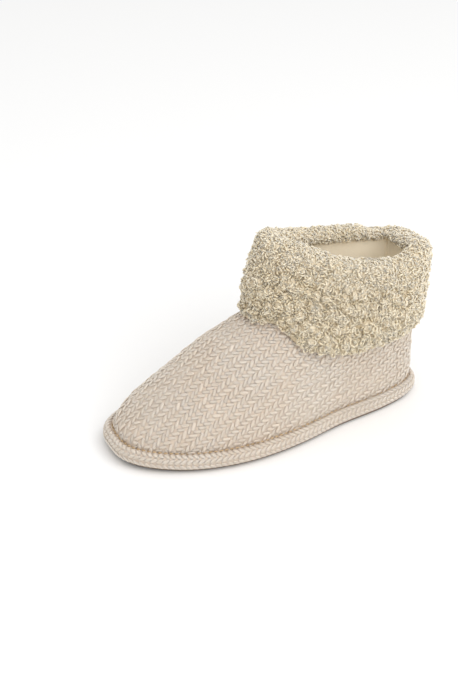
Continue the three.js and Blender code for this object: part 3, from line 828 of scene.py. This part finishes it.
def inside_thickness(level, angle):
    """Thickness of the fleece inside. It is thicker at the heel, and where the front is narrow it
    stays short of the middle."""
    wall = upper_offset(level, angle, np.full(np.shape(angle), -UPPER_WALL - FIT_GAP))
    sideways = np.abs(upper_frame(level, angle)[0][..., 0])
    room = np.where(sideways < FACES_FORWARD, np.inf,
                    CUFF_INSIDE_ROOM * np.abs(wall[..., 0]) / np.maximum(sideways, FACES_FORWARD))
    at_heel = soft_step((1 - np.cos(angle)) / 2, *HEEL_EXTRA_START)
    return np.minimum(CUFF_INSIDE_THICKNESS + HEEL_EXTRA_THICKNESS * at_heel, room)


def fold_height(angles):
    """Rise of the fleece over the collar. It is less along the inner side, at the middle and the
    inner corner of the heel, and in a dip beside the ankle on the outer side."""
    x, y, _ = np.moveaxis(upper_point(1.0, angles), -1, 0)
    inner_side = soft_step(-x, *INNER_SIDE_START) * soft_step(y, *INNER_FRONT_START)
    heel = soft_step(y, *HEEL_START) * soft_step(-x, *HEEL_OUTER_CORNER)
    ankle = np.exp(-((y - ANKLE_MIDDLE) / ANKLE_HALF_LENGTH) ** 2) * soft_step(x, *OUTER_SIDE_START)
    return CUFF_THICKNESS * (1 - INNER_FOLD_DROP * inner_side - HEEL_FOLD_DROP * heel - ANKLE_DIP * ankle)


def cuff_face(angles):
    """Rows of points over the fleece's face: up the outside, over the fold and down inside. The
    fold is a flattened arch, |cos|^roundness across and sin^roundness up."""
    outside, inside = cuff_edge(angles, "outside"), cuff_edge(angles, "inside")
    rows = []
    for t in np.linspace(0, 1, OUTSIDE_ROWS):
        level = outside + (1 - outside) * t
        rows.append(upper_offset(level, angles, fleece_thickness(CUFF_THICKNESS, t) + FIT_GAP + 0 * level))
    out, up = upper_frame(1.0, angles)
    even_out = unit(sum(np.roll(out, shift, 0) for shift in range(-CORNER_SMOOTHING, CORNER_SMOOTHING + 1)))
    limit = inside_thickness(np.ones_like(angles), angles)
    middle = upper_point(1.0, angles) - even_out * UPPER_WALL / 2
    for turn in np.linspace(0, np.pi, FOLD_ROWS)[1:-1]:
        sideways = np.where(np.cos(turn) > 0, CUFF_THICKNESS + FIT_GAP, limit + FIT_GAP) + UPPER_WALL / 2
        across = np.sign(np.cos(turn)) * np.abs(np.cos(turn)) ** CUFF_FOLD_ROUNDNESS
        rise = np.sin(turn) ** CUFF_FOLD_ROUNDNESS * fold_height(angles)
        way = out if across > 0 else even_out
        rows.append(middle + way * (across * sideways)[:, None] + up * rise[:, None])
    for t in np.linspace(0, 1, INSIDE_ROWS):
        level = 1 - (1 - inside) * t
        pile = fleece_thickness(inside_thickness(level, angles),
                                (1 - t) * CUFF_INSIDE_REACH + CUFF_INSIDE_START)
        rows.append(upper_point(level, angles) - even_out * (UPPER_WALL + FIT_GAP + pile)[:, None])
    return np.stack(rows)


def even_rows(rows, spacing):
    """The same surface with its rows spaced evenly by length, about a spacing apart."""
    steps = np.linalg.norm(np.diff(rows, axis=0), axis=-1)
    lengths = np.concatenate([np.zeros((1, rows.shape[1])), np.cumsum(steps, 0)])
    count = int(round(lengths[-1].mean() / spacing)) + 1
    even = np.empty((count, rows.shape[1], 3))
    for column in range(rows.shape[1]):
        at = np.linspace(0, lengths[-1, column], count)
        for axis in range(3):
            even[:, column, axis] = np.interp(at, lengths[:, column], rows[:, column, axis])
    return even


def surface_out(rows):
    """Direction out of a surface given as closed rows of points."""
    round_way = np.roll(rows, -1, 1) - np.roll(rows, 1, 1)
    return unit(np.cross(unit(round_way), unit(np.gradient(rows, axis=0))))


FIRST_ROW, LAST_ROW_MARGIN = 0.3, 1.6


def scatter(rows, outs, spacing, jitter, seed):
    """Places about a spacing apart over a surface, each moved at random by up to the jitter.
    Returns the points, the directions out, and the share of the way from the lower edge."""
    draw = np.random.default_rng(seed)
    columns = rows.shape[1]
    points, normals, shares = [], [], []
    last = rows.shape[0] - 1.001
    for base in np.arange(FIRST_ROW, rows.shape[0] - LAST_ROW_MARGIN, 1.0):
        r = np.clip(base, 0, last)
        i = int(r)
        ring = rows[i] * (1 - (r - i)) + rows[i + 1] * (r - i)
        closed = np.concatenate([ring, ring[:1]])
        steps = np.linalg.norm(np.diff(closed, axis=0), axis=1)
        lengths = np.concatenate([[0], np.cumsum(steps)])
        count = max(int(lengths[-1] / spacing), 3)
        at = np.arange(count) + draw.random() + jitter * (draw.random(count) - 0.5)
        at = at * lengths[-1] / count
        column = np.interp(at % lengths[-1], lengths, np.arange(columns + 1))
        moved = np.clip(r + jitter * (draw.random(count) - 0.5), 0, last)
        i, u = moved.astype(int)[:, None], (moved % 1)[:, None]
        j, v = column.astype(int) % columns, (column % 1)[:, None]
        k = (j + 1) % columns
        i = i[:, 0]
        for source, sink in ((rows, points), (outs, normals)):
            sink.append((source[i, j] * (1 - v) + source[i, k] * v) * (1 - u)
                        + (source[i + 1, j] * (1 - v) + source[i + 1, k] * v) * u)
        shares.append(moved / (rows.shape[0] - 1))
    return np.concatenate(points), unit(np.concatenate(normals)), np.concatenate(shares)


# Light and dark ends of the locks' painted light and shade: dark deep in the gaps, light up the tufts and
# over the top and heel.
FLEECE_LIT = (0.785, 0.665, 0.485)
FLEECE_SHADED = (0.60, 0.487, 0.322)
FLEECE_PATCH = (1.0, 0.985, 0.95)
# Light and dark ends of the backing's painted light and shade: dark between the tufts, light up them.
BACKING_LIT = (0.70, 0.62, 0.48)
BACKING_SHADED = (0.56, 0.465, 0.325)
BACKING_DEPTH = 1.1
BACKING_SPACING = 1.5
BACKING_EDGE_FADE = 0.03
BACKING_SLACK = 0.2
BACKING_INNER_ROWS = 16
TUFT_SPACING = 6.6
TUFT_JITTER = 0.95
TUFT_REACH = 4.3
TUFT_SIZES = (0.55, 1.15)
TUFT_RISE = 2.9
POINTS_AT_ONCE = 4000
SMOOTH_TOP_DROP, SMOOTH_TOP_START = 0.75, (0.60, 0.05)
SMOOTH_HEEL_DROP, SMOOTH_HEEL_START = 0.45, (92, 9)


def tuft_dome(points):
    """How far up a tuft a point is: the highest of the domes over it, worked out in blocks of
    points. A dome is size (1 - (distance / reach)^2), and each tuft has its own size."""
    flat = points.reshape(-1, 3)
    result = np.empty(len(flat))
    for start in range(0, len(flat), POINTS_AT_ONCE):
        block = flat[start:start + POINTS_AT_ONCE]
        square = ((block ** 2).sum(1)[:, None] + (tuft_seeds ** 2).sum(1)[None, :]
                  - 2 * block @ tuft_seeds.T)
        result[start:start + POINTS_AT_ONCE] = (tuft_sizes * (1 - square / TUFT_REACH ** 2)).max(1)
    return np.maximum(result, 0).reshape(points.shape[:-1])


def tuft_share(points, share):
    """How tall the tufts are: full on the outside, lower over the fold and towards the heel."""
    top = 1 - SMOOTH_TOP_DROP * soft_step(share, *SMOOTH_TOP_START)
    heel = 1 - SMOOTH_HEEL_DROP * soft_step(points[..., 1], *SMOOTH_HEEL_START)
    return top * heel


cuff_rows = cuff_face(ANGLES)
tuft_rows = even_rows(cuff_rows, TUFT_SPACING)
tuft_seeds, _, _ = scatter(tuft_rows, surface_out(tuft_rows), TUFT_SPACING, TUFT_JITTER, seed=11)
tuft_sizes = np.random.default_rng(3).uniform(*TUFT_SIZES, len(tuft_seeds))

fine_rows = even_rows(cuff_rows, BACKING_SPACING)
fine_share = np.linspace(0, 1, len(fine_rows))[:, None] + np.zeros((1, RING_POINTS))
fine_dome, fine_tall = tuft_dome(fine_rows), tuft_share(fine_rows, fine_share)
lumps = TUFT_RISE * fine_dome * fine_tall
edge_fade = np.clip(np.minimum(fine_share, 1 - fine_share) / BACKING_EDGE_FADE, 0, 1)
pile_rows = fine_rows + surface_out(fine_rows) * ((lumps - BACKING_DEPTH) * edge_fade)[..., None]
outside_levels = cuff_edge(ANGLES, "outside")[None, :]
inside_levels = cuff_edge(ANGLES, "inside")[None, :]
up_share = np.linspace(0, 1, BACKING_INNER_ROWS)[:, None]
one_column = np.ones((BACKING_INNER_ROWS, 1))
back_inside = upper_offset(inside_levels + (1 - inside_levels) * up_share, ANGLES[None, :],
                           (-UPPER_WALL - FIT_GAP + BACKING_SLACK) * one_column)
back_outside = upper_offset(outside_levels + (1 - outside_levels) * up_share[::-1], ANGLES[None, :],
                            (FIT_GAP - BACKING_SLACK) * one_column)
ground_rows = np.concatenate([pile_rows, back_inside, back_outside])
# Painted shade on the backing: darker between the tufts, lighter up them and where the pile is low; the
# hidden inner rows take the darkest end.
backing_painted_shade = np.concatenate([np.clip(fine_dome + 1 - fine_tall, 0, 1),
                              np.zeros((2 * BACKING_INNER_ROWS, RING_POINTS))])
add_mesh("cuff_ground", ground_rows, [ring_faces(len(ground_rows), RING_POINTS, closed=True)],
         cloth_material("fleece backing", BACKING_LIT, BACKING_SHADED, FLEECE_PATCH, fuzz_scale=700,
                        fuzz_depth=0.001, fuzz_strength=0.8),
         ["cuff"], backing_painted_shade.ravel())

CURL_SPACING = 2.0
CURL_JITTER = 0.9
CURL_RADIUS = (1.1, 1.9)
CURL_TURNS = 0.85
CURL_POINTS = 7
CURL_DRIFT = (0.4, 1.1)
CURL_DEPTH = (-1.9, -0.7)
CURL_UPRIGHT_SPREAD, CURL_TILT_SPREAD = 0.75, 0.6
LOCK_RADIUS = 0.74
# Tone of a lock: painted shade in the gaps, painted light up the tufts and where the pile is low over the
# top and heel, and a little at random.
GAP_SHADE_TONE, TUFT_PAINTED_LIGHT, LOW_PILE_PAINTED_LIGHT, TONE_SPREAD = 0.10, 0.80, 0.75, 0.04


def curls(places, outs, shares, seed):
    """Curled locks. Each is a length of fleece wound most of the way round a ring, whose axis is
    turned at random, and it drifts along that axis like a spring. Locks are painted lighter up a
    tuft and darker in the gaps between, as painted light and shade, and painted lighter where the
    pile is low, over the top and towards the heel, as painted light."""
    draw = np.random.default_rng(seed)
    count = len(places)
    axis = unit(outs * draw.normal(0, CURL_UPRIGHT_SPREAD, (count, 1))
                + draw.normal(0, CURL_TILT_SPREAD, (count, 3)))
    first = unit(np.cross(axis, draw.normal(0, 1, (count, 3))))
    second = np.cross(axis, first)
    radius = draw.uniform(*CURL_RADIUS, (count, 1, 1))
    share = np.linspace(0, 1, CURL_POINTS)[None, :]
    turn = 2 * np.pi * (draw.random((count, 1)) + CURL_TURNS * share)
    radial = np.cos(turn)[..., None] * first[:, None] + np.sin(turn)[..., None] * second[:, None]
    drift = (2 * share - 1)[..., None] * draw.uniform(*CURL_DRIFT, (count, 1, 1))
    dome, tall = tuft_dome(places), tuft_share(places, shares)
    middle = places + outs * (TUFT_RISE * dome * tall + draw.uniform(*CURL_DEPTH, count))[:, None]
    paths = middle[:, None] + radial * radius + axis[:, None] * drift
    # Painted light and shade: darker deep in the gaps, lighter up the tufts and where the pile is low.
    tone = GAP_SHADE_TONE + TUFT_PAINTED_LIGHT * dome + LOW_PILE_PAINTED_LIGHT * (1 - tall) + draw.normal(0, TONE_SPREAD, count)
    return paths, radial, np.clip(tone, 0, 1)


curl_rows = even_rows(cuff_rows, CURL_SPACING)
paths, radials, curl_tones_and_shade = curls(
    *scatter(curl_rows, surface_out(curl_rows), CURL_SPACING, CURL_JITTER, seed=23), seed=31)
fleece_material = cloth_material("curly fleece", FLEECE_LIT, FLEECE_SHADED, FLEECE_PATCH, fuzz_scale=2200,
                                 softness=0.8)
piece_ends = np.linspace(0, len(paths), 5).astype(int)
for name, start, end in zip(("low", "middle", "high", "top"), piece_ends[:-1], piece_ends[1:]):
    points, faces, stride = yarn_pieces(paths[start:end], radials[start:end], LOCK_RADIUS, LOCK_RADIUS,
                                        around=4)
    add_mesh(f"cuff_curls_{name}", points, faces, fleece_material, ["cuff"],
             np.repeat(curl_tones_and_shade[start:end], stride))

# Stage: a plain pale floor, one large soft studio light above and to the side, an even pale
# surrounding light, and a camera at the photograph's angle to the shoe.
CAMERA_TARGET = (-0.00735, -0.0299, 0.068)
CAMERA_BACK = (0.76797, -0.37955, 0.51504)
CAMERA_DISTANCE = 0.9955
CAMERA_LENS = 70.95
KEY_POWER, KEY_SIZE = 20, 1.8
KEY_PLACE = (1.15, 0.22, 1.35)
WORLD_STRENGTH = 0.915
WORLD_COLOR = (1, 0.997, 0.997, 1)
FLOOR_COLOR = (0.885, 0.885, 0.88, 1)
FLOOR_SIZE, FLOOR_DROP = 12, 0.0003
LIGHT_TARGET = (0, 0, 0.05)

bpy.ops.mesh.primitive_plane_add(size=FLOOR_SIZE, location=(0, 0, -FLOOR_DROP))
floor = bpy.context.active_object
floor.name = "floor"
floor_material, _, floor_surface = new_material("plain pale floor", 0.95, 0.0)
floor_surface.inputs["Base Color"].default_value = FLOOR_COLOR
floor.data.materials.append(floor_material)

key_data = bpy.data.lights.new("key", "AREA")
key_data.energy = KEY_POWER
key_data.size = KEY_SIZE
key = bpy.data.objects.new("key", key_data)
key.location = KEY_PLACE
key.rotation_euler = (Vector(LIGHT_TARGET) - Vector(KEY_PLACE)).to_track_quat("-Z", "Y").to_euler()
bpy.context.scene.collection.objects.link(key)

world = bpy.data.worlds.new("studio")
world.use_nodes = True
world.node_tree.nodes["Background"].inputs["Color"].default_value = WORLD_COLOR
world.node_tree.nodes["Background"].inputs["Strength"].default_value = WORLD_STRENGTH
bpy.context.scene.world = world

camera_data = bpy.data.cameras.new("camera")
camera_data.lens = CAMERA_LENS
camera_data.sensor_width = 36
camera_data.clip_end = 50
camera = bpy.data.objects.new("camera", camera_data)
camera.location = Vector(CAMERA_TARGET) + Vector(CAMERA_BACK).normalized() * CAMERA_DISTANCE
camera.rotation_euler = Vector(CAMERA_BACK).to_track_quat("Z", "Y").to_euler()
bpy.context.scene.collection.objects.link(camera)
bpy.context.scene.camera = camera
bpy.context.scene.view_settings.view_transform = "Standard"
